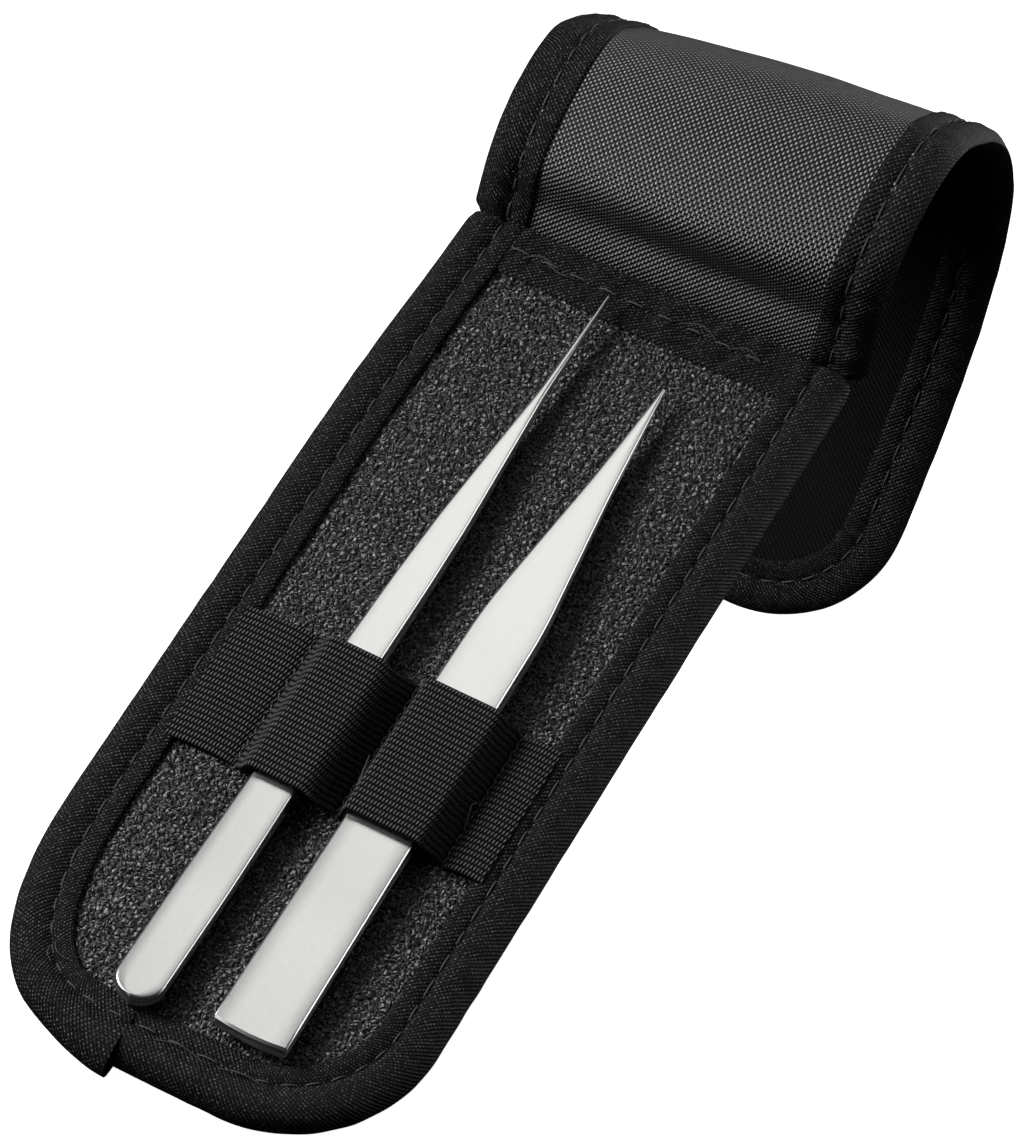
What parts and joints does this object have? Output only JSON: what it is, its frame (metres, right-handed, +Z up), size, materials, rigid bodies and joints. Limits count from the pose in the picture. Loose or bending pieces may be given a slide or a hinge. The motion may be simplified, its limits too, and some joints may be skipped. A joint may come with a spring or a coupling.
{
  "type": "precision tweezers set in a folding pouch",
  "caption": "Fine-point and broad stainless precision tweezers held by elastic loops in a soft nylon pouch whose curled flap props it up",
  "frame": {"origin": "on the floor, under the middle of the standing set's bounding box", "axes": "+X across the pouch to the right as seen from its near end, +Y from the near end towards the fold and flap, +Z up"},
  "size_m": [0.0634, 0.2114, 0.1094],
  "materials": {
    "steel": "satin brushed with bright bevels",
    "outer_nylon": "matt woven nylon",
    "flap_lining": "shiny coarse woven nylon",
    "binding_tape": "fine woven tape",
    "elastic": "ribbed elastic webbing",
    "pebbled_lining": "pebbled, slightly glossy coating",
    "foam": "closed-cell foam",
    "board": "plain stiffener board",
    "thread": "sewing thread"
  },
  "bodies": {
    "base": {"base_shell": "outer_nylon", "base_stiffener": "board", "base_foam": "foam", "base_lining": "pebbled_lining", "base_binding": "binding_tape", "binding_tail": "binding_tape", "top_hem": "binding_tape", "strap_left_end": "elastic", "strap_right_end": "elastic", "strap_tacks": "thread"},
    "fine_loop_body": {"fine_loop": "elastic"},
    "broad_loop_body": {"broad_loop": "elastic"},
    "fine_tweezers": {"fine_lower_arm": "steel", "fine_welds": "steel"},
    "fine_arm": {"fine_upper_arm": "steel"},
    "broad_tweezers": {"broad_lower_arm": "steel", "broad_welds": "steel"},
    "broad_arm": {"broad_upper_arm": "steel"},
    "flap_1": {"flap_shell_1": "outer_nylon", "flap_lining_1": "flap_lining", "flap_binding_1": "binding_tape"},
    "flap_2": {"flap_shell_2": "outer_nylon", "flap_lining_2": "flap_lining", "flap_binding_2": "binding_tape"},
    "flap_3": {"flap_shell_3": "outer_nylon", "flap_lining_3": "flap_lining", "flap_binding_3": "binding_tape"},
    "flap_4": {"flap_shell_4": "outer_nylon", "flap_lining_4": "flap_lining", "flap_binding_4": "binding_tape"},
    "flap_5": {"flap_shell_5": "outer_nylon", "flap_lining_5": "flap_lining", "flap_binding_5": "binding_tape"},
    "flap_6": {"flap_shell_6": "outer_nylon", "flap_lining_6": "flap_lining", "flap_binding_6": "binding_tape"},
    "flap_7": {"flap_shell_7": "outer_nylon", "flap_lining_7": "flap_lining", "flap_binding_7": "binding_tape"},
    "flap_8": {"flap_shell_8": "outer_nylon", "flap_lining_8": "flap_lining", "flap_binding_8": "binding_tape"}
  },
  "joints": [
    {"name": "flap_root_bend", "type": "hinge", "parent": "base", "child": "flap_1", "pos_m": [0, 0.03329, 0.07861], "axis": [-1, 0, 0], "range_deg": [-30, 0]},
    {"name": "flap_fold", "type": "hinge", "parent": "flap_1", "child": "flap_2", "pos_m": [0, 0.02956, 0.09001], "axis": [-1, 0, 0], "range_deg": [-72, 0]},
    {"name": "flap_bend_3", "type": "hinge", "parent": "flap_2", "child": "flap_3", "pos_m": [0, 0.0311, 0.09989], "axis": [-1, 0, 0], "range_deg": [-67, 0]},
    {"name": "flap_bend_4", "type": "hinge", "parent": "flap_3", "child": "flap_4", "pos_m": [0, 0.04041, 0.10747], "axis": [-1, 0, 0], "range_deg": [-44.5, 0]},
    {"name": "flap_bend_5", "type": "hinge", "parent": "flap_4", "child": "flap_5", "pos_m": [0, 0.05841, 0.10719], "axis": [-1, 0, 0], "range_deg": [-26, 0]},
    {"name": "flap_bend_6", "type": "hinge", "parent": "flap_5", "child": "flap_6", "pos_m": [0, 0.07982, 0.09634], "axis": [-1, 0, 0], "range_deg": [-23, 0]},
    {"name": "flap_bend_7", "type": "hinge", "parent": "flap_6", "child": "flap_7", "pos_m": [0, 0.09915, 0.0734], "axis": [-1, 0, 0], "range_deg": [-31, 0]},
    {"name": "flap_bend_8", "type": "hinge", "parent": "flap_7", "child": "flap_8", "pos_m": [0, 0.10423, 0.04181], "axis": [-1, 0, 0], "range_deg": [-17, 0]},
    {"name": "fine_slide", "type": "slide", "parent": "base", "child": "fine_tweezers", "axis": [-0.0175, -0.8818, -0.4713], "range_m": [0, 0.11]},
    {"name": "broad_slide", "type": "slide", "parent": "base", "child": "broad_tweezers", "axis": [0, -0.8819, -0.4714], "range_m": [0, 0.1]},
    {"name": "fine_spring", "type": "hinge", "parent": "fine_tweezers", "child": "fine_arm", "pos_m": [-0.0074, -0.09861, 0.01037], "axis": [0.9998, -0.0154, -0.0082], "range_deg": [0, 3], "stiffness_Nm_per_rad": 0.8},
    {"name": "broad_spring", "type": "hinge", "parent": "broad_tweezers", "child": "broad_arm", "pos_m": [0.0094, -0.09597, 0.01178], "axis": [1, 0, 0], "range_deg": [0, 3.2], "stiffness_Nm_per_rad": 1},
    {"name": "fine_loop_stretch", "type": "slide", "parent": "base", "child": "fine_loop_body", "axis": [0, -0.4714, 0.8819], "range_m": [0, 0.00365]},
    {"name": "broad_loop_stretch", "type": "slide", "parent": "base", "child": "broad_loop_body", "axis": [0, -0.4714, 0.8819], "range_m": [0, 0.00372]}
  ],
  "couplings": [
    {"joint": "flap_root_bend", "follows": "flap_fold", "ratio": 0.41667},
    {"joint": "flap_bend_3", "follows": "flap_fold", "ratio": 0.93056},
    {"joint": "flap_bend_4", "follows": "flap_fold", "ratio": 0.61806},
    {"joint": "flap_bend_5", "follows": "flap_fold", "ratio": 0.36111},
    {"joint": "flap_bend_6", "follows": "flap_fold", "ratio": 0.31944},
    {"joint": "flap_bend_7", "follows": "flap_fold", "ratio": 0.43056},
    {"joint": "flap_bend_8", "follows": "flap_fold", "ratio": 0.23611},
    {"joint": "fine_loop_stretch", "follows": "fine_spring", "m_per_rad": 0.0678},
    {"joint": "broad_loop_stretch", "follows": "broad_spring", "m_per_rad": 0.0648}
  ]
}
